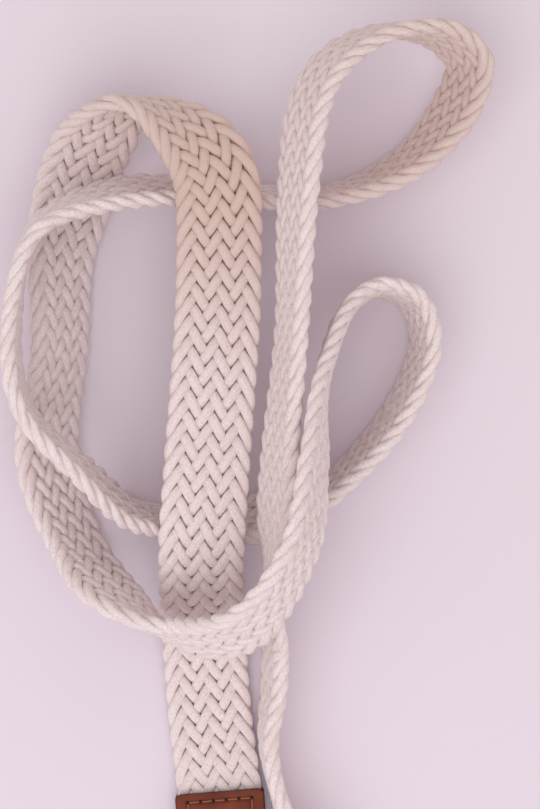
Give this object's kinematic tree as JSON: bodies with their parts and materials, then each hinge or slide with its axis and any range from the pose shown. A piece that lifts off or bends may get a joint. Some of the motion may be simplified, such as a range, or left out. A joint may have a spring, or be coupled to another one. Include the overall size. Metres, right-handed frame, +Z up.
{
  "type": "braided belt",
  "caption": "Flat plaited cotton waist belt with stitched brown leather ends and a pin buckle, thrown down in open loops and lying on a table.",
  "frame": {"origin": "middle of the footprint, on the surface the belt lies on", "axes": "+Z up; +Y from the leather ends towards the loops; +X towards the strap's leather tip"},
  "size_m": [0.1558, 0.339, 0.0687],
  "materials": {
    "cotton": "thick ecru cotton cords, plaited flat",
    "leather": "smooth brown leather, faintly glossy",
    "thread": "waxed tan sewing thread",
    "tape": "plain woven cotton tape",
    "buckle_metal": "dulled old brass, lightly brushed"
  },
  "bodies": {
    "belt": {"braided_strap": "cotton", "chape_leather": "leather", "chape_stitching_upper": "thread", "chape_stitching_lower": "thread", "chape_end_tape": "tape", "keeper_loop": "leather", "tip_front_leather": "leather", "tip_back_leather": "leather", "tip_stitching_front": "thread", "tip_stitching_back": "thread", "tip_end_tape": "tape"},
    "frame": {"buckle_frame": "buckle_metal"},
    "prong": {"buckle_prong": "buckle_metal"}
  },
  "joints": [
    {"name": "frame_hinge", "type": "hinge", "parent": "belt", "child": "frame", "pos_m": [-0.01314, -0.10512, 0.004], "axis": [-0.9966, -0.0819, 0], "range_deg": [0, 80]},
    {"name": "prong_hinge", "type": "hinge", "parent": "frame", "child": "prong", "pos_m": [-0.01314, -0.10512, 0.004], "axis": [-0.9966, -0.0819, 0], "range_deg": [0, 50]}
  ]
}
